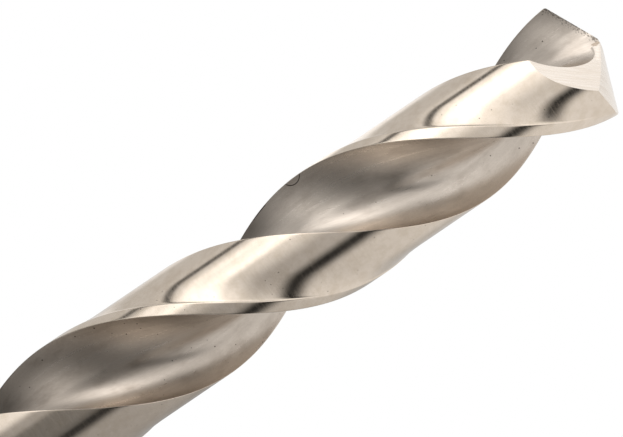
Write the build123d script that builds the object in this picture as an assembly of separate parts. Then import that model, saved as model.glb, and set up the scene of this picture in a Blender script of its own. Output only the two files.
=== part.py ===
from build123d import *
from math import acos, asin, atan2, cos, degrees, radians, sin, sqrt, tan
import os

# Jobber twist drill, ground from one bar of high-speed steel.
#
# The drill stands on the flat end of its shank, on the XY plane, with its axis on +Z and its
# point up.  Angles in a cross-section are measured from +X, which is the direction of the lips
# where they reach full diameter.  Lengths are in millimetres, angles in degrees.

# Overall sizes
DRILL_DIAMETER = 10.0        # over the margins, at the outer corners of the lips
BACK_TAPER = 0.05            # by which that diameter falls down to the shank, which keeps it
OVERALL_LENGTH = 133.0
FLUTED_LENGTH = 87.0         # from the chisel edge to where the flutes leave the bar
SHANK_CHAMFER = 0.5          # 45 degree bevel round the end of the shank

# Flutes and lands
FLUTE_PITCH = 47.4           # right-hand helix, one turn
WEB_THICKNESS = 2.6          # core left between the two flutes
HEEL_RADIUS = 2.45           # round bottom of a flute, up to the heel of the next land
HEEL_STRAIGHT = 0.2          # straight end of that curve, at the heel
LAND_ANGLE = 82.7            # from the leading edge back to the heel
MARGIN_WIDTH = 1.1           # full-diameter strip behind each leading edge
MARGIN_STEP_ANGLE = 1.2      # taken up by the slanted step behind the margin
FILLET_ANGLE = 22.0          # taken up by the hollow that rises to the foot of that step
FILLET_RISE = 0.2            # height of the hollow's end over the rest of the land
BODY_CLEARANCE = 0.28        # how far the rest of the land lies below the margin
WHEEL_RADIUS = 32.0          # of the wheel that leaves the flute at its run-out
CLEARANCE_RUNOUT = 5.0       # length over which the clearance rises to full diameter

# Point
POINT_ANGLE = 137.0
LIP_OFFSET = 1.4             # of each lip ahead of the axis
LIP_END_ROUNDING = 0.25      # from the inner end of a straight lip to the web's curve
RELIEF_AT_AXIS = -0.08       # slope behind the lip, in line with the axis
RELIEF_GAIN = 0.035          # growth of that slope for each millimetre out along the lip
RELIEF_CURVATURE = 0.052     # growth of the slope for each millimetre behind the lip
HEEL_RELIEF_SLOPE = 1.46     # of the second relief, square to the lip
HEEL_RELIEF_TILT = 0.05      # of the second relief, along the lip
HEEL_RELIEF_HEIGHT = 3.0     # of its plane over the axis, above the outer corners
HEEL_RELIEF_START = -0.1     # along the lip, where the second relief stops beside the web
HEEL_RELIEF_SLANT = 0.16     # growth of that limit for each millimetre from there to the heel

# How far a cutting shape reaches past the bar, and how finely curves are followed
SPARE = 1.0
OVERLAP_ANGLE = 10.0
RUNOUT_SECTIONS = 9
RAKE_POINTS = 8
RELIEF_POINTS = 9

drill_radius = DRILL_DIAMETER / 2
body_radius = drill_radius - BODY_CLEARANCE
web_radius = WEB_THICKNESS / 2
outer_radius = drill_radius + SPARE
lip_slope = 1 / tan(radians(POINT_ANGLE / 2))
lip_reach = sqrt(drill_radius**2 - LIP_OFFSET**2)
corner_angle = degrees(asin(LIP_OFFSET / drill_radius))
margin_angle = degrees(MARGIN_WIDTH / drill_radius)
heel_angle = corner_angle - LAND_ANGLE


def flank_height(x, y):
    """Height of the flank behind the +X lip, above the plane of the outer corners.

    The flank holds the straight lip.  Behind the lip it falls away at a slope that grows
    outwards along the lip and backwards from it.
    """
    behind = LIP_OFFSET - y
    slope = RELIEF_AT_AXIS + RELIEF_GAIN * x + RELIEF_CURVATURE * behind
    return (lip_reach - x) * lip_slope - behind * slope


corner_z = OVERALL_LENGTH - flank_height(0, 0)


def twist_at(z):
    """Turn of the cross-section at height z, from that at the outer corners."""
    return 360 * (z - corner_z) / FLUTE_PITCH


def polar(radius, angle):
    return Vector(radius * cos(radians(angle)), radius * sin(radians(angle)))


def arc(radius, start, end):
    return ThreePointArc(polar(radius, start), polar(radius, (start + end) / 2), polar(radius, end))


def rake_point(radius):
    """Point of the flute wall under the +X lip, on a circle of this radius.

    The lip is straight and lies LIP_OFFSET ahead of the axis.  Its point on this circle is
    carried down the helix to the plane of the outer corners.
    """
    along = sqrt(radius**2 - LIP_OFFSET**2)
    drop = (lip_reach - along) * lip_slope
    return polar(radius, degrees(asin(LIP_OFFSET / radius)) - 360 * drop / FLUTE_PITCH)


def flute_section():
    """Section of the flute ahead of the +X lip, and the direction in which it is deepest.

    Rake wall, then a round bottom that touches the web circle from outside and ends just below
    the next heel, then straight on past the bar.
    """
    heel = 180 + heel_angle
    heel_radius = body_radius - HEEL_STRAIGHT
    centre_radius = web_radius + HEEL_RADIUS
    sides = centre_radius**2 + heel_radius**2 - HEEL_RADIUS**2
    bottom = heel - degrees(acos(sides / (2 * centre_radius * heel_radius)))
    centre = polar(centre_radius, bottom)
    arc_end = polar(heel_radius, heel)
    bottom_turn = bottom - 180
    heel_turn = degrees(atan2(arc_end.Y - centre.Y, arc_end.X - centre.X)) - 360
    arc_middle = centre + polar(HEEL_RADIUS, (bottom_turn + heel_turn) / 2)
    side_end = arc_end + polar(2 * SPARE + BODY_CLEARANCE + HEEL_STRAIGHT, heel_turn - 90)

    lip_end = LIP_OFFSET + LIP_END_ROUNDING
    step = (outer_radius - lip_end) / (RAKE_POINTS - 1)
    rake = [rake_point(outer_radius - step * i) for i in range(RAKE_POINTS)]
    web_point = polar(web_radius, bottom)
    outline = [
        Spline(*rake, web_point, tangents=(rake[1] - rake[0], polar(1, bottom + 90))),
        ThreePointArc(web_point, arc_middle, arc_end),
        Line(arc_end, side_end),
        Line(side_end, rake[0] * 2),
        Line(rake[0] * 2, rake[0]),
    ]
    return make_face(Wire(outline)), bottom


def clearance_section():
    """Section of the zone behind the margin of the +X land, from its surface outwards."""
    step_top = corner_angle - margin_angle
    step_foot = step_top - MARGIN_STEP_ANGLE
    hollow_start = step_foot - FILLET_ANGLE
    far_side = heel_angle - OVERLAP_ANGLE
    foot = polar(body_radius + FILLET_RISE, step_foot)
    step = polar(drill_radius, step_top) - foot
    outer = foot + step * (1 + SPARE / BODY_CLEARANCE)
    outer_angle = degrees(atan2(outer.Y, outer.X))
    hollow_middle = polar(body_radius + FILLET_RISE / 4, (hollow_start + step_foot) / 2)
    land_end = polar(body_radius, hollow_start)
    outline = [
        arc(body_radius, far_side, hollow_start),
        ThreePointArc(land_end, hollow_middle, foot),
        Line(foot, outer),
        arc(outer.length, outer_angle, far_side),
        Line(polar(outer.length, far_side), polar(body_radius, far_side)),
    ]
    return make_face(Wire(outline))


def place(section, z):
    return (Pos(0, 0, z) * Rot(0, 0, twist_at(z)) * section).face()


def twisted(section, bottom, top):
    """The section carried up the helix from one height to another."""
    turn = twist_at(top) - twist_at(bottom)
    return Solid.extrude_linear_with_rotation(
        place(section, bottom), (0, 0, bottom), (0, 0, top - bottom), turn)


def wheel_travel(lift):
    """Distance along the axis over which a round wheel lifts a flute's bottom this far."""
    return sqrt(WHEEL_RADIUS**2 - (WHEEL_RADIUS - lift) ** 2)


def flute_voids(straight_bottom):
    """One flute: a twisted prism, and below it the run-out that a round wheel leaves."""
    section, deepest = flute_section()
    last = wheel_travel(drill_radius - web_radius + SPARE / 2)
    runout = []
    for i in range(RUNOUT_SECTIONS):
        down = last * i / (RUNOUT_SECTIONS - 1)
        lift = WHEEL_RADIUS - sqrt(WHEEL_RADIUS**2 - down**2)
        runout.append(place(Pos(polar(lift, deepest)) * section, straight_bottom - down))
    return [
        twisted(section, straight_bottom, OVERALL_LENGTH + SPARE),
        Solid.make_loft([s.outer_wire() for s in runout]),
    ]


def clearance_void(straight_bottom):
    """Clearance of one land, carried up its helix, with a tapered lower end."""
    end = straight_bottom - CLEARANCE_RUNOUT
    top = OVERALL_LENGTH + SPARE
    taper = BODY_CLEARANCE / CLEARANCE_RUNOUT
    inner, outer = web_radius, 2 * drill_radius
    height_at = [straight_bottom - (r - body_radius) / taper for r in (inner, outer)]
    profile = Polyline(
        (inner, height_at[0]), (inner, top), (outer, top), (outer, height_at[1]), close=True)
    ring = revolve(Plane.XZ * make_face(profile), Axis.Z)
    return ring & twisted(clearance_section(), end - SPARE, top)


def flank_cutter():
    """Everything above the flank behind the +X lip."""
    reach = drill_radius + SPARE
    steps = [reach * (2 * i / (RELIEF_POINTS - 1) - 1) for i in range(RELIEF_POINTS)]
    points = [[Vector(x, y, corner_z + flank_height(x, y)) for y in steps] for x in steps]
    surface = Face.make_surface_from_array_of_points(points)
    return Solid.extrude(surface, (0, 0, drill_radius))


def heel_relief_cutter():
    """Everything above the steep second relief, which stops beside the web.

    The wall where it stops is slanted, so that the relief also takes off the tip of the heel.
    """
    size = 2 * DRILL_DIAMETER
    along = Vector(1, 0, HEEL_RELIEF_TILT)
    uphill = Vector(0, 1, HEEL_RELIEF_SLOPE)
    normal = along.cross(uphill)
    wall = uphill + along * HEEL_RELIEF_SLANT
    start = Vector(HEEL_RELIEF_START, 0, corner_z + HEEL_RELIEF_HEIGHT)
    plane = Plane(
        origin=start + along * HEEL_RELIEF_SLANT, x_dir=wall.cross(normal), z_dir=normal)
    return plane * Box(size, 2 * size, size, align=(Align.MIN, Align.CENTER, Align.MIN))


def drill_blank(flute_end):
    """Round shank with a bevelled end, then the bar that widens a little towards the corners."""
    shank_radius = drill_radius - BACK_TAPER / 2
    top = OVERALL_LENGTH + SPARE
    widening = (drill_radius - shank_radius) / (corner_z - flute_end)
    top_radius = shank_radius + widening * (top - flute_end)
    outline = Polyline(
        (0, 0), (shank_radius - SHANK_CHAMFER, 0), (shank_radius, SHANK_CHAMFER),
        (shank_radius, flute_end), (top_radius, top), (0, top), close=True)
    return revolve(Plane.XZ * make_face(outline), Axis.Z)


def drill_bit():
    """The blank, less its two flutes, two clearances and the grinds of the point."""
    flute_end = OVERALL_LENGTH - FLUTED_LENGTH
    straight_bottom = flute_end + wheel_travel(drill_radius - web_radius)
    one_side = flute_voids(straight_bottom) + [clearance_void(straight_bottom)]
    one_side += [flank_cutter(), heel_relief_cutter()]
    drill = drill_blank(flute_end)
    for cutter in one_side:
        drill = drill - cutter - Rot(0, 0, 180) * cutter
    return drill


os.makedirs("parts", exist_ok=True)
export_step(drill_bit(), "parts/drill_bit.step")
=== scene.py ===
"""Ground twist drill, standing on the end of its shank, seen close up from beside its point.

Shapes are worked out in millimetres, in the drill's own frame, and put into meshes in metres.
"""

import bmesh
import bpy
import numpy as np
from mathutils import Matrix, Vector


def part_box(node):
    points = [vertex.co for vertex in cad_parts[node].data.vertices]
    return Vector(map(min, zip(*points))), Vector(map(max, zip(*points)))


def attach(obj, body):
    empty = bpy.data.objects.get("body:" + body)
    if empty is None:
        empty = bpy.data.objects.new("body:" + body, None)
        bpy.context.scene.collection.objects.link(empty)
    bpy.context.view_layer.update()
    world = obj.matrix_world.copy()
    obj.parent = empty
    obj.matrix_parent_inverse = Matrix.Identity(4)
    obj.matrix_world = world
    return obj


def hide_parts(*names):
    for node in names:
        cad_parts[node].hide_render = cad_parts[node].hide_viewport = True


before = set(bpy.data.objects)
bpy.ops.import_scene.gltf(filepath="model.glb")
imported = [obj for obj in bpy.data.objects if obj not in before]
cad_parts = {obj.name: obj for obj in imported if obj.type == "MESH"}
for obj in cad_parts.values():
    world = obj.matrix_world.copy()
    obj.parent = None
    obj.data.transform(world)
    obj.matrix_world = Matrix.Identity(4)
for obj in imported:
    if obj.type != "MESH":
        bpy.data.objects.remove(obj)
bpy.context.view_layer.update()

MM = 0.001
TAU = 2 * np.pi

# The drill's sizes, in millimetres and degrees
RADIUS = 5.0                  # of the margins, at the outer corners of the lips
BACK_TAPER = 0.025            # by which that radius falls down to the shank
LENGTH = 133.0
FLUTED_LENGTH = 87.0
SHANK_BEVEL = 0.5
PITCH = 47.4                  # right-hand helix, one turn
WEB_RADIUS = 1.3              # core between the two flutes
HEEL_RADIUS = 2.45            # round bottom of a flute, up to the heel of the next land
HEEL_STRAIGHT = 0.2           # straight end of that curve
LAND_ANGLE = 82.7             # from the leading edge back to the heel
MARGIN_WIDTH = 1.1            # full-radius strip behind each leading edge
MARGIN_STEP_ANGLE = 1.2       # taken up by the slanted step behind it
FILLET_ANGLE = 27.0           # taken up by the hollow that rises to the foot of that step
FILLET_RISE = 0.2             # height of the hollow's end over the rest of the land
FILLET_GROWTH = 2.6           # power of the distance by which the hollow rises
CLEARANCE = 0.28              # how far the rest of the land lies below the margin
CLEARANCE_RUNOUT = 5.0        # length over which the clearance ends below
WHEEL_RADIUS = 32.0           # of the wheel that leaves the flute at its run-out
POINT_ANGLE = 137.0
LIP_OFFSET = 1.4              # of each lip ahead of the axis
LIP_END_ROUNDING = 0.25       # from the inner end of a straight lip to the web's curve
RELIEF_AT_AXIS = -0.08        # slope behind the lip, in line with the axis
RELIEF_GAIN = 0.035           # growth of that slope for each millimetre out along the lip
RELIEF_CURVATURE = 0.052      # growth of the slope for each millimetre behind the lip
HEEL_RELIEF_SLOPE = 1.46      # of the second relief, square to the lip
HEEL_RELIEF_TILT = 0.05       # of the second relief, along the lip
HEEL_RELIEF_HEIGHT = 3.0      # of its plane over the axis, above the outer corners
HEEL_RELIEF_START = -0.1      # along the lip, where it stops beside the web
HEEL_RELIEF_SLANT = 0.16      # growth of that limit for each millimetre to the heel

# Roundness that grinding and handling leave on its edges, and use on the lips' outer corners
EDGE = 0.045
WEAR = 0.14

body_radius = RADIUS - CLEARANCE
lip_slope = 1 / np.tan(np.radians(POINT_ANGLE / 2))
lip_reach = np.sqrt(RADIUS**2 - LIP_OFFSET**2)
corner_angle = np.arcsin(LIP_OFFSET / RADIUS)
margin_end = corner_angle - MARGIN_WIDTH / RADIUS
step_foot = margin_end - np.radians(MARGIN_STEP_ANGLE)
hollow_start = step_foot - np.radians(FILLET_ANGLE)
heel_angle = corner_angle - np.radians(LAND_ANGLE)


def flank_height(x, y):
    """Height of the flank behind the +X lip over the outer corners: the straight lip's own height,
    less the distance behind the lip times a slope that grows outwards and backwards."""
    behind = LIP_OFFSET - y
    slope = RELIEF_AT_AXIS + RELIEF_GAIN * x + RELIEF_CURVATURE * behind
    return (lip_reach - x) * lip_slope - behind * slope


top_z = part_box("drill_bit")[1][2] / MM
corner_z = top_z - flank_height(0, 0)
flute_end = LENGTH - FLUTED_LENGTH
deepest_lift = RADIUS - WEB_RADIUS
straight_bottom = flute_end + np.sqrt(WHEEL_RADIUS**2 - (WHEEL_RADIUS - deepest_lift) ** 2)


# ---------------------------------------------------------------- one cross-section

# Points along the flute's wall before they are evened out: beyond the heel, round the bottom,
# over the blend and up the rake; and how far past the bar the first and last of these reach
OUTSIDE_POINTS, BOTTOM_POINTS, BLEND_POINTS, RAKE_POINTS = 40, 200, 60, 240
PAST_HEEL, PAST_LIP = 2, 1.5

# Points of half a section: the flute's wall, the margin, the hollow and the land
WALL, MARGIN, HOLLOW, LAND = 64, 7, 12, 24

# Height below the clearance's end over which a section's points spread out evenly
EVENING = 4

# Most of a step of the wall that its rounded corner may take, and least roundness of the margin's
# step where that runs out
EDGE_SHARE, LEAST_EDGE = 0.4, 0.01


def twist_at(z):
    """Turn of the section at a height, in radians: one turn for each pitch."""
    return TAU * (z - corner_z) / PITCH


def polar(radius, angle):
    """Points at a radius, in a direction from +X in radians."""
    return np.stack([radius * np.cos(angle), radius * np.sin(angle)], -1)


def smooth(t):
    """Smooth step from 0 to 1: three times the square, less twice the cube."""
    t = np.clip(t, 0, 1)
    return t * t * (3 - 2 * t)


def flute_curve():
    """Wall of the flute ahead of the +X lip, from outside the last heel round to outside the lip.

    A straight end at the heel, a circle that touches the web's circle from outside, a cubic from
    there to the inner end of the lip, and the rake wall: each point of the straight lip, turned
    back down the helix by its drop to the outer corner.  Also returns the deepest direction.
    """
    heel = np.pi + heel_angle
    heel_end = body_radius - HEEL_STRAIGHT
    centre_radius = WEB_RADIUS + HEEL_RADIUS
    sides = centre_radius**2 + heel_end**2 - HEEL_RADIUS**2
    deepest = heel - np.arccos(sides / (2 * centre_radius * heel_end))
    centre = polar(centre_radius, deepest)
    arc_end = polar(heel_end, heel)
    across, up = arc_end - centre
    first_turn = np.arctan2(up, across)
    turns = np.linspace(first_turn, deepest + np.pi, BOTTOM_POINTS)
    bottom = centre + polar(HEEL_RADIUS, turns)
    beyond = np.linspace(PAST_HEEL, 0, OUTSIDE_POINTS, endpoint=False)
    outside = arc_end + polar(beyond, first_turn - np.pi / 2)

    radius = np.linspace(LIP_OFFSET + LIP_END_ROUNDING, RADIUS + PAST_LIP, RAKE_POINTS)
    along = np.sqrt(radius**2 - LIP_OFFSET**2)
    drop = (lip_reach - along) * lip_slope
    rake = polar(radius, np.arcsin(LIP_OFFSET / radius) - TAU * drop / PITCH)

    gap = np.linalg.norm(rake[0] - bottom[-1])
    leave = polar(gap, deepest - np.pi / 2)
    arrive = (rake[1] - rake[0]) / np.linalg.norm(rake[1] - rake[0]) * gap
    t = np.linspace(0, 1, BLEND_POINTS)[1:-1, None]
    blend = ((2 * t**3 - 3 * t**2 + 1) * bottom[-1] + (t**3 - 2 * t**2 + t) * leave
             + (3 * t**2 - 2 * t**3) * rake[0] + (t**3 - t**2) * arrive)
    return np.concatenate([outside, bottom, blend, rake]), deepest


flute_wall, deepest = flute_curve()


def even(curve, count):
    """Points at equal steps of the curve's own length, both ends included."""
    run = np.r_[0, np.cumsum(np.linalg.norm(np.diff(curve, axis=0), axis=1))]
    at = np.linspace(0, run[-1], count)
    return np.stack([np.interp(at, run, curve[:, 0]), np.interp(at, run, curve[:, 1])], -1)


def rounded(before, corner, after, size, count=5):
    """A corner cut off by a parabola that starts and ends this far from it along its sides."""
    back = (before - corner) / max(np.linalg.norm(before - corner), 1e-9)
    on = (after - corner) / max(np.linalg.norm(after - corner), 1e-9)
    t = np.linspace(0, 1, count)[:, None]
    return corner + size * ((1 - t) ** 2 * back + t**2 * on)


def crossing(inner, outer, radius):
    """Where the short line between two points crosses a circle round the axis."""
    r0, r1 = np.linalg.norm(inner), np.linalg.norm(outer)
    return inner + (outer - inner) * np.clip((radius - r0) / (r1 - r0), 0, 1)


def half_section(z):
    """Half of the outline at a height, before its twist, from the +X leading edge backwards.

    The margin is an arc at full radius, the land an arc at the cleared radius that rises along a
    power curve to the foot of the margin's step, and the flute's wall is moved outwards by the rise
    of the grinding wheel, then cut off at those two arcs.  Below the flutes the wall has shrunk
    to a point, and the two arcs close the circle.
    """
    rim = RADIUS - BACK_TAPER * np.clip((corner_z - z) / (corner_z - flute_end), 0, 1)
    floor = min(rim, body_radius + max(0, straight_bottom - z) * CLEARANCE / CLEARANCE_RUNOUT)
    down = min(max(0, straight_bottom - z), straight_bottom - flute_end)
    lift = WHEEL_RADIUS - np.sqrt(WHEEL_RADIUS**2 - down**2)
    wall = flute_wall + polar(lift, deepest)
    radius = np.linalg.norm(wall, axis=1)
    inside = np.flatnonzero(radius < floor)
    if z > flute_end and len(inside):
        first, last = inside[0], np.flatnonzero(radius < rim)[-1]
        heel = crossing(wall[first], wall[first - 1], floor)
        lead = crossing(wall[last], wall[last + 1], rim)
        wall = even(np.vstack([heel, wall[first:last + 1], lead]), WALL + 2)
    else:
        wall = np.repeat(polar(rim, deepest)[None], WALL + 2, 0)
    lead_angle = np.arctan2(wall[-1, 1], wall[-1, 0])
    back_angle = np.arctan2(wall[0, 1], wall[0, 0]) - np.pi

    marked = np.r_[np.linspace(lead_angle, margin_end, MARGIN + 2)[1:],
                   np.linspace(step_foot, hollow_start, HOLLOW + 1)[:-1],
                   np.linspace(hollow_start, back_angle, LAND + 2)[:-1]]
    spread = np.linspace(lead_angle, back_angle, len(marked) + 2)[1:-1]
    plain = smooth((straight_bottom - CLEARANCE_RUNOUT - z) / EVENING)
    angles = marked + (spread - marked) * plain
    margin = polar(rim, angles[:MARGIN])
    step_top = polar(rim, angles[MARGIN])
    rise = np.clip((marked[MARGIN + 1:] - hollow_start) / (step_foot - hollow_start), 0, 1)
    land_radius = np.minimum(rim, floor + FILLET_RISE * rise**FILLET_GROWTH)
    land = polar(land_radius, angles[MARGIN + 1:])
    foot, land = land[0], land[1:]

    depth = (rim - floor) / CLEARANCE
    edge = min(EDGE, EDGE_SHARE * np.linalg.norm(wall[1] - wall[0]))
    step_edge = max(EDGE * depth, LEAST_EDGE)
    return np.vstack([
        rounded(wall[-2], wall[-1], margin[0], edge),
        margin,
        rounded(margin[-1], step_top, foot, step_edge, 3),
        rounded(step_top, foot, land[0], step_edge, 3),
        land,
        rounded(land[-1], -wall[0], -wall[1], edge, 4),
        -wall[1:-1],
    ])


# ---------------------------------------------------------------- the bar and its grinders

# Heights of the rings below the flutes, of which the first three are the bevel's, and the number
# of rings in the run-out and in the flutes, which reach this far above the outer corners
SHANK_RINGS = [0, 0.46, 0.5, 0.56, 6, 16, 26, 36]
RUNOUT_RINGS, FLUTE_RINGS = 60, 262
BLANK_ABOVE_CORNERS = 3.4

# How far the grinders reach sideways past the axis, and upwards
FLANK_REACH, HEEL_REACH, GRINDER_HEIGHT = 6.5, 9, 12

# The ring that wears the corners: points of its curve, and copies of it round the axis; how far
# the curve reaches down the margin, for each millimetre of WEAR, and stands off it at that end;
# and how far the ring reaches out past the bar, and upwards
WEAR_POINTS, WEAR_COPIES = 7, 144
WEAR_DOWN, WEAR_OFF = 2.2, 0.01
WEAR_REACH, WEAR_HEIGHT = 2, 4

# Distances in metres below which points are merged, and an edge is too short to keep
MERGED, TOO_SHORT = 2e-7, 1e-7


def mesh_piece(name, points, faces):
    """A new object whose mesh has these points, given in millimetres."""
    mesh = bpy.data.meshes.new(name)
    mesh.from_pydata((np.asarray(points) * MM).tolist(), [], faces)
    mesh.validate()
    piece = bpy.data.objects.new(name, mesh)
    bpy.context.scene.collection.objects.link(piece)
    return piece


def fluted_bar():
    """The bar before its point is ground: sections stacked up the axis, each turned by its twist.

    The lowest rings are the shank and its bevel.  Each face's material number is its zone, 0 for
    the cylindrically ground surfaces and 1 for the flutes.
    """
    up = np.linspace(0, 1, RUNOUT_RINGS)[:-1] ** 1.5
    runout = flute_end + (straight_bottom - flute_end) * up
    straight = np.linspace(straight_bottom, corner_z + BLANK_ABOVE_CORNERS, FLUTE_RINGS)
    heights = np.r_[SHANK_RINGS, runout, straight]
    rings = np.array([half_section(z) for z in heights])
    rings = np.concatenate([rings, -rings], 1)
    shank_radius = RADIUS - BACK_TAPER
    bevel = np.array([shank_radius - SHANK_BEVEL, shank_radius - EDGE]) / shank_radius
    rings[:2] *= bevel[:, None, None]
    turn = twist_at(np.maximum(heights, flute_end))[:, None]
    x = rings[..., 0] * np.cos(turn) - rings[..., 1] * np.sin(turn)
    y = rings[..., 0] * np.sin(turn) + rings[..., 1] * np.cos(turn)
    z = np.broadcast_to(heights[:, None], x.shape)
    count, around = x.shape
    low = np.arange(count - 1)[:, None] * around + np.arange(around)
    low_next = np.roll(low, -1, 1)
    quads = np.stack([low, low + around, low_next + around, low_next], -1).reshape(-1, 4)
    faces = quads.tolist()
    faces.append(list(range(around)))
    faces.append(list(range(count * around - 1, (count - 1) * around - 1, -1)))
    piece = mesh_piece("ground_drill", np.stack([x, y, z], -1).reshape(-1, 3), faces)

    half = around // 2
    zone = np.arange(around) % half >= half - WALL - 2
    zones = np.r_[np.tile(zone, count - 1), 0, 0]
    piece.data.polygons.foreach_set("material_index", zones.astype(np.int32))
    work = bmesh.new()
    work.from_mesh(piece.data)
    bmesh.ops.remove_doubles(work, verts=work.verts, dist=MERGED)
    bmesh.ops.dissolve_degenerate(work, edges=work.edges, dist=TOO_SHORT)
    work.to_mesh(piece.data)
    work.free()
    return piece


def flank_grinder(side):
    """A block whose underside is the flank of one lip, side +1 for +X and -1 for -X."""
    count = 61
    line = np.linspace(-FLANK_REACH, FLANK_REACH, count)
    x, y = np.meshgrid(line, line, indexing="ij")
    under = np.stack([side * x, side * y, corner_z + flank_height(x, y)], -1).reshape(-1, 3)
    over = under * [1, 1, 0] + [0, 0, corner_z + GRINDER_HEIGHT]
    low = (np.arange(count - 1)[:, None] * count + np.arange(count - 1)).ravel()
    quads = np.stack([low, low + 1, low + count + 1, low + count], -1)
    rim = np.r_[np.arange(count), np.arange(1, count) * count + count - 1,
                (count * count - 2 - np.arange(count - 1)), np.arange(count - 2, 0, -1) * count]
    rim_next = np.roll(rim, -1)
    size = count * count
    walls = np.stack([rim, rim + size, rim_next + size, rim_next], -1)
    top = quads[:, ::-1] + size
    return mesh_piece("flank", np.vstack([under, over]),
                      np.vstack([quads, walls, top]).tolist())


# The second relief of the +X side: a point on its plane, and its axes, which point away from the
# wall where it stops, up the plane along that wall, and out of the plane
slope_across = np.array([1, 0, HEEL_RELIEF_TILT])
slope_up = np.array([0, 1, HEEL_RELIEF_SLOPE])
relief_point = [HEEL_RELIEF_START, 0, corner_z + HEEL_RELIEF_HEIGHT] + (
    HEEL_RELIEF_SLANT * slope_across)
relief_up = slope_up + HEEL_RELIEF_SLANT * slope_across
relief_out = np.cross(slope_across, slope_up)
relief_axes = np.array([np.cross(relief_up, relief_out), relief_up, relief_out])
relief_axes /= np.linalg.norm(relief_axes, axis=1)[:, None]


def heel_grinder(side):
    """A box over the steep second relief of one side, in the relief's own axes."""
    sides = np.meshgrid([0, HEEL_REACH], [-HEEL_REACH, HEEL_REACH], [0, GRINDER_HEIGHT],
                        indexing="ij")
    box = np.stack(sides, -1).reshape(-1, 3)
    corners = (relief_point + box @ relief_axes) * [side, side, 1]
    faces = [(0, 1, 3, 2), (4, 6, 7, 5), (0, 4, 5, 1), (2, 3, 7, 6), (0, 2, 6, 4), (1, 5, 7, 3)]
    return mesh_piece("heel", corners, faces)


def corner_wear():
    """A ring that rounds the outer corners of the lips: the profile, a parabola from the margin to
    the lip and then a wide box outside it, is turned round the axis in even steps."""
    foot, outside = -WEAR_DOWN * WEAR, RADIUS + WEAR_REACH
    low = np.array([RADIUS + WEAR_OFF, foot])
    high = np.array([RADIUS - WEAR, WEAR * lip_slope])
    t = np.linspace(0, 1, WEAR_POINTS)[:, None]
    curve = (1 - t) ** 2 * low + 2 * t * (1 - t) * np.array([RADIUS, 0]) + t**2 * high
    profile = np.vstack([
        curve, [RADIUS - WEAR, WEAR_HEIGHT], [outside, WEAR_HEIGHT], [outside, foot]])
    turn = np.linspace(0, TAU, WEAR_COPIES, endpoint=False)[:, None]
    x, y = profile[:, 0] * np.cos(turn), profile[:, 0] * np.sin(turn)
    z = np.broadcast_to(corner_z + profile[:, 1], x.shape)
    size = len(profile)
    first = np.arange(len(turn))[:, None] * size + np.arange(size)
    on, over = np.roll(first, -1, 1), np.roll(first, -1, 0)
    faces = np.stack([first, over, np.roll(over, -1, 1), on], -1).reshape(-1, 4)
    return mesh_piece("wear", np.stack([x, y, z], -1).reshape(-1, 3), faces.tolist())


def outward(piece):
    """Turns the faces of a closed piece outwards."""
    work = bmesh.new()
    work.from_mesh(piece.data)
    bmesh.ops.recalc_face_normals(work, faces=work.faces)
    work.to_mesh(piece.data)
    work.free()


def without_flaps(mesh):
    """Splits the faces into triangles, and takes away any two back to back on the same points."""
    work = bmesh.new()
    work.from_mesh(mesh)
    bmesh.ops.triangulate(work, faces=work.faces)
    work.to_mesh(mesh)
    corners = np.empty(len(mesh.loops), np.int32)
    mesh.loops.foreach_get("vertex_index", corners)
    corners = np.sort(corners.reshape(-1, 3), axis=1)
    places, counts = np.unique(corners, axis=0, return_inverse=True, return_counts=True)[1:]
    work.clear()
    work.from_mesh(mesh)
    work.faces.ensure_lookup_table()
    flaps = [work.faces[i] for i in np.flatnonzero(counts[places.ravel()] > 1)]
    bmesh.ops.delete(work, geom=flaps, context="FACES")
    work.to_mesh(mesh)
    work.free()


drill = fluted_bar()
cutters = [cut(side) for side in (1, -1) for cut in (flank_grinder, heel_grinder)]
cutters.append(corner_wear())
for cutter in cutters:
    outward(cutter)
    grind = drill.modifiers.new(cutter.name, "BOOLEAN")
    grind.operation = "DIFFERENCE"
    grind.solver = "MANIFOLD"
    grind.object = cutter
shape = bpy.data.meshes.new_from_object(drill.evaluated_get(bpy.context.evaluated_depsgraph_get()))
drill.modifiers.clear()
drill.data = shape
for cutter in cutters:
    bpy.data.objects.remove(cutter)
without_flaps(drill.data)


# ---------------------------------------------------------------- zones of the finished mesh

# Distance in millimetres at which a face still counts as lying on a ground surface, and how far
# the second relief's faces may lie beyond the wall where it stops
NEAR = 0.004
BEYOND_WALL = 0.1

# Angle in degrees between two faces past which the edge between them is shaded as a sharp one
SHARP = 33


def zone_of_faces(mesh):
    """0 ground round, 1 flute, 2 flank, 3 heel relief: faces whose middle lies on the formula of
    a flank, of a heel relief or of the wall where that starts are the point's, the others keep
    the bar's own zone."""
    count = len(mesh.polygons)
    centre = np.empty(count * 3)
    mesh.polygons.foreach_get("center", centre)
    zone = np.empty(count, np.int32)
    mesh.polygons.foreach_get("material_index", zone)
    for side in (1, -1):
        turned = centre.reshape(-1, 3) / MM * [side, side, 1]
        x, y, z = turned.T
        beyond, _, over = relief_axes @ (turned - relief_point).T
        zone[(np.abs(beyond) < NEAR) & (over > 0)] = 3
        zone[np.abs(z - corner_z - flank_height(x, y)) < NEAR] = 2
        zone[(np.abs(over) < NEAR) & (beyond > -BEYOND_WALL)] = 3
    return zone


zones = zone_of_faces(drill.data)
drill.data.materials.clear()
drill.data.polygons.foreach_set("material_index", zones)
drill.data.polygons.foreach_set("use_smooth", np.ones(len(zones), bool))
drill.data.set_sharp_from_angle(angle=np.radians(SHARP))
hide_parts("drill_bit")
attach(drill, "root")


# ---------------------------------------------------------------- finishes

# Inputs that are given by number: a Map Range turns the range from 1 to 2 into that from 3 to 4, a
# Mix of colours goes from 6 to 7 and one of numbers from 2 to 3, and Multiply Add is 0 times 1
# plus 2


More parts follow.
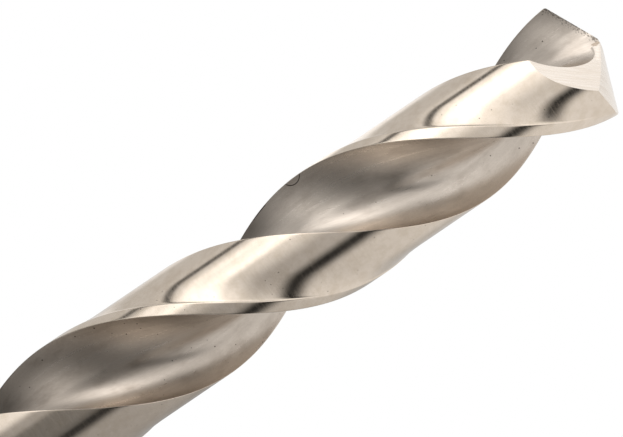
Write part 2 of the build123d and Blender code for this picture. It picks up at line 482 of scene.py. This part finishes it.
def colour(code):
    """sRGB hex to linear RGBA."""
    s = np.array([int(code[i:i + 2], 16) for i in (1, 3, 5)]) / 255
    return (*np.where(s <= 0.04045, s / 12.92, ((s + 0.055) / 1.055) ** 2.4), 1.0)


def node(tree, kind, inputs=None, **settings):
    """Adds a node, sets its properties, and sets or links its inputs by name or number."""
    made = tree.nodes.new(kind)
    for key, value in settings.items():
        setattr(made, key, value)
    for key, value in (inputs or {}).items():
        socket = made.inputs[key]
        if isinstance(value, bpy.types.NodeSocket):
            tree.links.new(value, socket)
        else:
            socket.default_value = colour(value) if isinstance(value, str) else value
    return made


def along_flutes(tree, pitch):
    """Object coordinates turned back by one turn a pitch, so that a pattern follows a helix."""
    place = node(tree, "ShaderNodeTexCoord").outputs["Object"]
    height = node(tree, "ShaderNodeSeparateXYZ", {0: place}).outputs[2]
    back = node(tree, "ShaderNodeMath", {0: height, 1: -TAU / (pitch * MM)}, operation="MULTIPLY")
    return node(tree, "ShaderNodeVectorRotate", {"Vector": place, "Angle": back.outputs[0]},
                rotation_type="Z_AXIS").outputs[0]


def grain(tree, place, wide, deep, long, detail=2.0):
    """Noise with the size of the marks that it stands for: across, through and up the axis, in
    millimetres."""
    fit = node(tree, "ShaderNodeMapping", {
        "Vector": place, "Scale": (1 / (wide * MM), 1 / (deep * MM), 1 / (long * MM))})
    return node(tree, "ShaderNodeTexNoise", {
        "Vector": fit.outputs[0], "Scale": 1.0, "Detail": detail, "Roughness": 0.6}).outputs[0]


def pits(tree, place, apart, size, share):
    """Sparse round specks: 1 inside a speck, 0 outside.  Sizes are in millimetres."""
    cell = node(tree, "ShaderNodeTexVoronoi", {"Vector": place, "Scale": 1 / (apart * MM)})
    near = node(tree, "ShaderNodeMapRange", {
        0: cell.outputs["Distance"], 1: size / apart, 2: size / apart * 0.5, 3: 0.0, 4: 1.0})
    pick = node(tree, "ShaderNodeSeparateColor", {0: cell.outputs["Color"]})
    kept = node(tree, "ShaderNodeMath", {0: pick.outputs[0], 1: share}, operation="LESS_THAN")
    return node(tree, "ShaderNodeMath", {0: near.outputs[0], 1: kept.outputs[0]},
                operation="MULTIPLY").outputs[0]


def new_steel(name, anisotropic):
    """A bare metal whose highlight is drawn out across its grinding marks."""
    made = bpy.data.materials.new(name)
    made.use_nodes = True
    shader = made.node_tree.nodes["Principled BSDF"]
    shader.inputs["Metallic"].default_value = 1.0
    shader.inputs["Anisotropic"].default_value = anisotropic
    shader.inputs["Anisotropic Rotation"].default_value = 0.25
    return made, made.node_tree, shader


def round_steel():
    """High-speed steel, cylindrically ground: nearly a mirror, with marks round the bar that
    feather the edges of what it reflects, and faint smears from handling.  The real marks are
    about 0.01 mm apart, and are drawn 0.1 mm apart so that they show."""
    made, tree, shader = new_steel("high_speed_steel_round_ground", 0.45)
    place = node(tree, "ShaderNodeTexCoord").outputs["Object"]
    marks = grain(tree, place, 1.6, 1.6, 0.1)
    smear = grain(tree, place, 0.9, 0.9, 0.9, 4.0)
    speck = pits(tree, place, 0.5, 0.05, 0.3)
    dull = node(tree, "ShaderNodeMapRange", {0: smear, 1: 0.4, 2: 0.7, 3: 0.0, 4: 1.0})
    plain = node(tree, "ShaderNodeMix", {0: dull.outputs[0], 6: "#E5D7C7", 7: "#DBCCBA"},
                 data_type="RGBA")
    base = node(tree, "ShaderNodeMix", {0: speck, 6: plain.outputs[2], 7: "#5A5048"},
                data_type="RGBA")
    tree.links.new(base.outputs[2], shader.inputs["Base Color"])
    rough = node(tree, "ShaderNodeMapRange", {0: marks, 1: 0.3, 2: 0.7, 3: 0.1, 4: 0.18})
    rough = node(tree, "ShaderNodeMath", {0: dull.outputs[0], 1: 0.03, 2: rough.outputs[0]},
                 operation="MULTIPLY_ADD")
    tree.links.new(rough.outputs[0], shader.inputs["Roughness"])
    tree.links.new(node(tree, "ShaderNodeTangent", direction_type="RADIAL", axis="Z").outputs[0],
                   shader.inputs["Tangent"])
    lumps = node(tree, "ShaderNodeMath", {0: smear, 1: 1.5, 2: marks},
                 operation="MULTIPLY_ADD").outputs[0]
    bump = node(tree, "ShaderNodeBump", {"Strength": 0.25, "Distance": 0.006 * MM, "Height": lumps})
    tree.links.new(bump.outputs[0], shader.inputs["Normal"])
    return made


def lip_chips(tree, x, z):
    """Fine crumbling just under both lips: specks that thin out over the first 0.8 mm below the
    straight edge, which falls from the axis outwards by the lip's slope."""
    out = node(tree, "ShaderNodeMath", {0: x}, operation="ABSOLUTE").outputs[0]
    edge = node(tree, "ShaderNodeMath", {
        0: out, 1: -lip_slope, 2: (corner_z + lip_reach * lip_slope) * MM},
        operation="MULTIPLY_ADD").outputs[0]
    below = node(tree, "ShaderNodeMath", {0: edge, 1: z}, operation="SUBTRACT").outputs[0]
    near = node(tree, "ShaderNodeMapRange", {0: below, 1: 0.8 * MM, 2: 0.0, 3: 0.22, 4: 0.55})
    place = node(tree, "ShaderNodeTexCoord").outputs["Object"]
    lumps = grain(tree, place, 0.16, 0.16, 0.1)
    deep = node(tree, "ShaderNodeMath", {0: near.outputs[0], 1: lumps}, operation="SUBTRACT")
    return node(tree, "ShaderNodeMapRange", {
        0: deep.outputs[0], 1: 0.0, 2: 0.05, 3: 0.0, 4: 0.7}).outputs[0]


# Two chips knocked out of the edge of one flute, in millimetres: middle, radius and half width of
# the round one's bowed edge, and the heights and depth below the rim of the long one
ROUND_CHIP, ROUND_CHIP_RADIUS, ROUND_CHIP_EDGE = (-5.15, -1.5, 107.73), 0.89, 0.035
LONG_CHIP, LONG_CHIP_DEPTH = (103.5, 104.9), 0.12


def rim_chips(tree):
    """Dark edge of a shell-shaped chip, where the distance from its middle equals its radius, and
    a long narrow chip, close to the rim between two heights on the -X side."""
    place = node(tree, "ShaderNodeTexCoord").outputs["Object"]
    away = node(tree, "ShaderNodeVectorMath", {
        0: place, 1: tuple(MM * c for c in ROUND_CHIP)}, operation="DISTANCE").outputs["Value"]
    bow = node(tree, "ShaderNodeMath", {
        0: away, 1: ROUND_CHIP_RADIUS * MM, 2: ROUND_CHIP_EDGE * MM},
        operation="COMPARE").outputs[0]
    flat = node(tree, "ShaderNodeVectorMath", {0: place, 1: (1, 1, 0)}, operation="MULTIPLY")
    x, _, z = node(tree, "ShaderNodeSeparateXYZ", {0: place}).outputs
    radius = node(tree, "ShaderNodeVectorMath", {0: flat.outputs[0]}, operation="LENGTH")
    rim = node(tree, "ShaderNodeMath", {
        0: radius.outputs["Value"], 1: (RADIUS - LONG_CHIP_DEPTH) * MM},
        operation="GREATER_THAN").outputs[0]
    low, high = LONG_CHIP
    run = node(tree, "ShaderNodeMath", {0: z, 1: (low + high) / 2 * MM, 2: (high - low) / 2 * MM},
               operation="COMPARE").outputs[0]
    side = node(tree, "ShaderNodeMath", {0: x, 1: 0.0}, operation="LESS_THAN").outputs[0]
    long = node(tree, "ShaderNodeMath", {0: rim, 1: run}, operation="MULTIPLY").outputs[0]
    long = node(tree, "ShaderNodeMath", {0: long, 1: side}, operation="MULTIPLY").outputs[0]
    return node(tree, "ShaderNodeMath", {0: bow, 1: long}, operation="MAXIMUM").outputs[0]


# Pitch in millimetres of the helix that the wheel's own marks follow in the bottom of a flute
WHEEL_MARK_PITCH = 25.0


def flute_steel():
    """High-speed steel, flute-ground by a formed wheel: satin, with fine streaks along the helix,
    patches of a faint brown film of oil, painted shade that darkens the flutes towards the bottom,
    a few pits, and dark chips at the lips and the rim.  The real streaks are about 0.02 mm wide,
    and are drawn 0.07 mm wide so that they show."""
    made, tree, shader = new_steel("high_speed_steel_flute_ground", 0.6)
    place = along_flutes(tree, PITCH)
    fine = grain(tree, along_flutes(tree, WHEEL_MARK_PITCH), 0.07, 0.07, 1.6, 3.0)
    broad = grain(tree, place, 0.5, 0.5, 9.0)
    film = grain(tree, place, 1.3, 1.3, 2.2, 3.0)
    speck = pits(tree, place, 0.7, 0.07, 0.3)
    tone = node(tree, "ShaderNodeMath", {0: fine, 1: broad}, operation="ADD").outputs[0]
    streak = node(tree, "ShaderNodeMapRange", {0: tone, 1: 0.7, 2: 1.3, 3: 0.0, 4: 1.0})
    plain = node(tree, "ShaderNodeMix", {0: streak.outputs[0], 6: "#D9CEC2", 7: "#CABFB3"},
                 data_type="RGBA")
    x, y, z = node(tree, "ShaderNodeSeparateXYZ", {
        0: node(tree, "ShaderNodeTexCoord").outputs["Object"]}).outputs
    # painted shade: from 105 mm down to 85 mm the flutes' colour darkens towards the film's brown,
    # standing in for light that falls off lower down; this is added to the oil film's own patches
    down = node(tree, "ShaderNodeMapRange", {0: z, 1: 105 * MM, 2: 85 * MM, 3: 0.0, 4: 0.35})
    film_and_painted_shade = node(tree, "ShaderNodeMapRange", {0: film, 1: 0.5, 2: 0.75, 3: 0.0, 4: 0.4})
    film_and_painted_shade = node(tree, "ShaderNodeMath", {0: film_and_painted_shade.outputs[0], 1: down.outputs[0]},
                 operation="ADD", use_clamp=True)
    oiled_and_painted_shade = node(tree, "ShaderNodeMix", {0: film_and_painted_shade.outputs[0], 6: plain.outputs[2], 7: "#9A8D80"},
                 data_type="RGBA")
    dark = node(tree, "ShaderNodeMath", {0: speck, 1: lip_chips(tree, x, z)}, operation="MAXIMUM")
    dark = node(tree, "ShaderNodeMath", {0: dark.outputs[0], 1: rim_chips(tree)},
                operation="MAXIMUM")
    base = node(tree, "ShaderNodeMix", {0: dark.outputs[0], 6: oiled_and_painted_shade.outputs[2], 7: "#453D36"},
                data_type="RGBA")
    tree.links.new(base.outputs[2], shader.inputs["Base Color"])
    rough = node(tree, "ShaderNodeMapRange", {0: tone, 1: 0.6, 2: 1.4, 3: 0.25, 4: 0.37})
    tree.links.new(rough.outputs[0], shader.inputs["Roughness"])
    rate = TAU / (PITCH * MM)
    helix = node(tree, "ShaderNodeCombineXYZ", {
        0: node(tree, "ShaderNodeMath", {0: y, 1: -rate}, operation="MULTIPLY").outputs[0],
        1: node(tree, "ShaderNodeMath", {0: x, 1: rate}, operation="MULTIPLY").outputs[0], 2: 1.0})
    run = node(tree, "ShaderNodeVectorMath", {0: helix.outputs[0]}, operation="NORMALIZE")
    tree.links.new(run.outputs[0], shader.inputs["Tangent"])
    bump = node(tree, "ShaderNodeBump", {"Strength": 0.5, "Distance": 0.004 * MM, "Height": tone})
    tree.links.new(bump.outputs[0], shader.inputs["Normal"])
    return made


def point_steel(name, turn, pale, deep):
    """High-speed steel, point-ground by a cup wheel: close straight marks across the facet, which
    scatter the light evenly.  The real marks are about 0.02 mm apart, drawn here 0.09 mm apart."""
    made, tree, shader = new_steel(name, 0.5)
    place = node(tree, "ShaderNodeTexCoord").outputs["Object"]
    swing = node(tree, "ShaderNodeVectorRotate", {"Vector": place, "Angle": turn},
                 rotation_type="Z_AXIS").outputs[0]
    marks = grain(tree, swing, 3, 0.09, 3, 3.0)
    depth = node(tree, "ShaderNodeMapRange", {0: marks, 1: 0.35, 2: 0.65, 3: 0.0, 4: 1.0})
    base = node(tree, "ShaderNodeMix", {0: depth.outputs[0], 6: pale, 7: deep}, data_type="RGBA")
    tree.links.new(base.outputs[2], shader.inputs["Base Color"])
    rough = node(tree, "ShaderNodeMapRange", {0: marks, 1: 0.3, 2: 0.7, 3: 0.2, 4: 0.34})
    tree.links.new(rough.outputs[0], shader.inputs["Roughness"])
    bump = node(tree, "ShaderNodeBump", {"Strength": 0.3, "Distance": 0.003 * MM, "Height": marks})
    tree.links.new(bump.outputs[0], shader.inputs["Normal"])
    return made


# In the order of the zones' numbers
for made in (round_steel(), flute_steel(),
             point_steel("high_speed_steel_flank_ground", -1.4, "#E9E1D7", "#DCD1C5"),
             point_steel("high_speed_steel_heel_ground", -0.84, "#EBE2D8", "#DFD3C6")):
    drill.data.materials.append(made)


# ---------------------------------------------------------------- studio

# Directions round the drill are in degrees from START, itself in degrees from +X, and heights are
# in degrees over the level of the tent's middle
START = -157.9

# Light of the bare tent at each height, from the dim table below to the lit top
TENT_LEVELS = [(-70, 0.3), (-40, 0.35), (-20, 0.36), (-8, 0.38), (2, 0.55), (14, 0.9), (30, 1.0),
               (50, 1.02), (70, 1.1)]

# Cards (level above the tent's) and flags (below it), each over those before it: direction, half
# its width, lower and upper edge, softness of its edges, level
CARDS = [
    (-40, 50, -40, 40, 5, 0.65),
    (40, 39, -4, 61, 15, 1.28),
    (39, 16, -14, 19, 9, 2.2),
    (6, 4.5, -14, 20, 3, 0.12),
    (129, 12, -23, 24, 9, 0.02),
    (35, 13, -44, 0, 16, 1.05),
    (100, 23, -72, -11, 5, 0.17),
    (-68, 15, -5, 5, 9, 1.45),
    (180, 38, -1, 78, 15, 0.87),
    (8, 69, 27, 41, 8, 0.6),
    (30, 50, 48, 60, 5, 1.45),
    (-22, 24, -80, -24, 12, 0.1)]

# Direction that the cards' own are measured from, which leaves the seam, where the angle jumps by
# a whole turn, opposite to it and between two cards
MIDDLE = 70

# Sizes in metres: the tent round the upper half of the drill, and the card round its shank
TENT_RADIUS, TENT_HEIGHT = 0.15, 0.118
SHANK_CARD_RADIUS, SHANK_CARD_BOTTOM, SHANK_CARD_TOP = 0.025, -0.01, 0.055


def new_card(name):
    """An empty material for a card."""
    made = bpy.data.materials.new(name)
    made.use_nodes = True
    made.node_tree.nodes.clear()
    return made, made.node_tree


def hang(name, rings, caps, finish):
    """A card made of rings of points, which only the steel's reflections see."""
    count, around = rings.shape[:2]
    low = np.arange(count - 1)[:, None] * around + np.arange(around)
    on = np.roll(low, -1, 1)
    faces = np.stack([low, on, on + around, low + around], -1).reshape(-1, 4).tolist()
    mesh = bpy.data.meshes.new(name)
    mesh.from_pydata(rings.reshape(-1, 3).tolist(), [], faces + caps)
    mesh.materials.append(finish)
    card = bpy.data.objects.new(name, mesh)
    bpy.context.scene.collection.objects.link(card)
    card.visible_camera = card.visible_shadow = card.visible_diffuse = False
    return card


def shank_card():
    """A round card close to the shank, which would see only the dim table without it.  Its level
    swings twice between 0.35 and 0.85 on its way round, as a cosine of twice the direction, and
    fades by a smooth step to less than half of that towards its upper edge."""
    made, tree = new_card("shank_card")
    x, y, z = node(tree, "ShaderNodeSeparateXYZ", {
        0: node(tree, "ShaderNodeTexCoord").outputs["Object"]}).outputs
    turn = node(tree, "ShaderNodeMath", {0: y, 1: x}, operation="ARCTAN2").outputs[0]
    twice = node(tree, "ShaderNodeMath", {0: turn, 1: 2.0, 2: 0.6}, operation="MULTIPLY_ADD")
    swing = node(tree, "ShaderNodeMath", {0: twice.outputs[0]}, operation="COSINE")
    level = node(tree, "ShaderNodeMath", {0: swing.outputs[0], 1: 0.25, 2: 0.6},
                 operation="MULTIPLY_ADD")
    fade = node(tree, "ShaderNodeMapRange", {0: z, 1: 0.025, 2: SHANK_CARD_TOP, 3: 1.0, 4: 0.45},
                interpolation_type="SMOOTHSTEP")
    level = node(tree, "ShaderNodeMath", {0: level.outputs[0], 1: fade.outputs[0]},
                 operation="MULTIPLY")
    glow = node(tree, "ShaderNodeEmission", {"Color": (1, 1, 1, 1), "Strength": level.outputs[0]})
    node(tree, "ShaderNodeOutputMaterial", {0: glow.outputs[0]})
    around = np.linspace(0, TAU, 64, endpoint=False)
    height = np.array([SHANK_CARD_BOTTOM, SHANK_CARD_TOP])[:, None]
    rings = np.stack(np.broadcast_arrays(
        SHANK_CARD_RADIUS * np.cos(around), SHANK_CARD_RADIUS * np.sin(around), height), -1)
    hang("shank_card", rings, [], made)


def card_tent():
    """Round tent seen by the steel alone, with soft-edged cards and flags hung round it.

    A card's share of the light is the product of two smooth steps, from its distance round and
    its distance in height beyond its edges.
    """
    made, tree = new_card("cards")
    place = node(tree, "ShaderNodeTexCoord").outputs["Object"]
    aim = node(tree, "ShaderNodeVectorRotate", {
        "Vector": place, "Angle": np.radians(-START - MIDDLE)}, rotation_type="Z_AXIS").outputs[0]
    x, y, z = node(tree, "ShaderNodeSeparateXYZ", {0: aim}).outputs
    turn = node(tree, "ShaderNodeMath", {0: y, 1: x}, operation="ARCTAN2").outputs[0]
    reach = node(tree, "ShaderNodeVectorMath", {0: place}, operation="LENGTH").outputs["Value"]
    rise = node(tree, "ShaderNodeMath", {0: z, 1: reach}, operation="DIVIDE").outputs[0]
    rise = node(tree, "ShaderNodeMath", {0: rise}, operation="ARCSINE").outputs[0]
    share = node(tree, "ShaderNodeMath", {0: rise, 1: 1 / np.pi, 2: 0.5}, operation="MULTIPLY_ADD")
    ramp = node(tree, "ShaderNodeValToRGB", {0: share.outputs[0]})
    keys = ramp.color_ramp.elements
    for number, (height, level) in enumerate(TENT_LEVELS):
        spot = height / 180 + 0.5
        key = keys[number] if number < 2 else keys.new(spot)
        key.position = spot
        key.color = (level, level, level, 1)
    light = ramp.outputs[0]
    for direction, half_width, low, high, soft, level in CARDS:
        edges = []
        for way, centre, half in ((turn, direction - MIDDLE, half_width),
                                  (rise, (low + high) / 2, (high - low) / 2)):
            off = node(tree, "ShaderNodeMath", {0: way, 1: np.radians(centre)},
                       operation="SUBTRACT")
            off = node(tree, "ShaderNodeMath", {0: off.outputs[0]}, operation="ABSOLUTE")
            edges.append(node(tree, "ShaderNodeMapRange", {
                0: off.outputs[0], 1: np.radians(half + soft), 2: np.radians(half - soft)},
                interpolation_type="SMOOTHSTEP").outputs[0])
        cover = node(tree, "ShaderNodeMath", {0: edges[0], 1: edges[1]}, operation="MULTIPLY")
        light = node(tree, "ShaderNodeMix", {0: cover.outputs[0], 2: light, 3: level},
                     data_type="FLOAT").outputs[0]
    glow = node(tree, "ShaderNodeEmission", {"Color": (1, 1, 1, 1), "Strength": light})
    node(tree, "ShaderNodeOutputMaterial", {0: glow.outputs[0]})
    rows, columns = 33, 64
    lift = np.linspace(-np.pi / 2, np.pi / 2, rows)[1:-1, None]
    around = np.linspace(0, TAU, columns, endpoint=False)
    points = TENT_RADIUS * np.stack(np.broadcast_arrays(
        np.cos(lift) * np.cos(around), np.cos(lift) * np.sin(around), np.sin(lift)), -1)
    caps = [list(range(columns))[::-1], list(range((rows - 3) * columns, (rows - 2) * columns))]
    hang("card_tent", points, caps, made).location = (0, 0, TENT_HEIGHT)


def white_floor():
    """A square of matt white paper, 6 m wide, which the steel's reflections don't see."""
    made = bpy.data.materials.new("white_paper")
    made.use_nodes = True
    shader = made.node_tree.nodes["Principled BSDF"]
    shader.inputs["Base Color"].default_value = colour("#F4F3F1")
    shader.inputs["Roughness"].default_value = 0.9
    mesh = bpy.data.meshes.new("floor")
    mesh.from_pydata([(-3, -3, 0), (3, -3, 0), (3, 3, 0), (-3, 3, 0)], [], [(0, 1, 2, 3)])
    mesh.materials.append(made)
    floor = bpy.data.objects.new("floor", mesh)
    bpy.context.scene.collection.objects.link(floor)
    floor.visible_glossy = False


def white_world():
    """Even light of 0.9, which the camera, gloss and glass see as 1, the white of the backdrop."""
    world = bpy.data.worlds.new("studio")
    bpy.context.scene.world = world
    world.use_nodes = True
    tree = world.node_tree
    tree.nodes.clear()
    path = node(tree, "ShaderNodeLightPath").outputs
    seen = node(tree, "ShaderNodeMath", {0: path["Is Camera Ray"], 1: path["Is Glossy Ray"]},
                operation="ADD")
    seen = node(tree, "ShaderNodeMath", {0: seen.outputs[0], 1: path["Is Transmission Ray"]},
                operation="ADD", use_clamp=True)
    level = node(tree, "ShaderNodeMapRange", {0: seen.outputs[0], 3: 0.9, 4: 1.0})
    glow = node(tree, "ShaderNodeBackground", {
        "Color": (1, 1, 1, 1), "Strength": level.outputs[0]})
    node(tree, "ShaderNodeOutputWorld", {0: glow.outputs[0]})


shank_card()
card_tent()
white_floor()
white_world()


# ---------------------------------------------------------------- camera

# Width and middle of the frame, and where in it the axis meets the plane of the outer corners,
# in pixels
FRAME_WIDTH, FRAME_MIDDLE = 623, (311.5, 218.5)
CORNERS_AT = (581.72, 60.81)

# In degrees: lean of the axis in the frame, up from the right, its lean towards the camera, and
# turn round it of the +X lip's outer corner, which lies ahead of +X by an angle of this sine
AXIS_LEAN, AXIS_TOWARDS, CORNER_TURN = 34.11, -3.44, 174.19
CORNER_SINE = 0.2805

# Pixels to a drill radius at the point, and the camera's distance from there in drill radii
PIXELS, DISTANCE = 65.24, 65.5


def place_camera():
    """The drill's axes as the camera sees them give the camera's turn, and the corners' place in
    the frame and their distance give its place."""
    lean, towards, turn = np.radians([AXIS_LEAN, AXIS_TOWARDS, CORNER_TURN])
    turn -= np.arcsin(CORNER_SINE)
    axis = np.array([np.cos(lean) * np.cos(towards), np.sin(lean) * np.cos(towards),
                     np.sin(towards)])
    across = np.array([-np.sin(lean), np.cos(lean), 0])
    out = np.array([-np.cos(lean) * np.sin(towards), -np.sin(lean) * np.sin(towards),
                    np.cos(towards)])
    seen = np.array([np.cos(turn) * across + np.sin(turn) * out,
                     -np.sin(turn) * across + np.cos(turn) * out, axis])
    corners = np.array([(CORNERS_AT[0] - FRAME_MIDDLE[0]) / PIXELS,
                        -(CORNERS_AT[1] - FRAME_MIDDLE[1]) / PIXELS, -DISTANCE])
    spot = RADIUS * (seen @ -corners) + [0, 0, corner_z]
    lens = bpy.data.cameras.new("camera")
    lens.lens = lens.sensor_width * PIXELS * DISTANCE / FRAME_WIDTH
    camera = bpy.data.objects.new("camera", lens)
    camera.matrix_world = Matrix.Translation(Vector(spot * MM)) @ Matrix(seen.tolist()).to_4x4()
    bpy.context.scene.collection.objects.link(camera)
    bpy.context.scene.camera = camera


place_camera()
bpy.context.scene.view_settings.view_transform = "Standard"
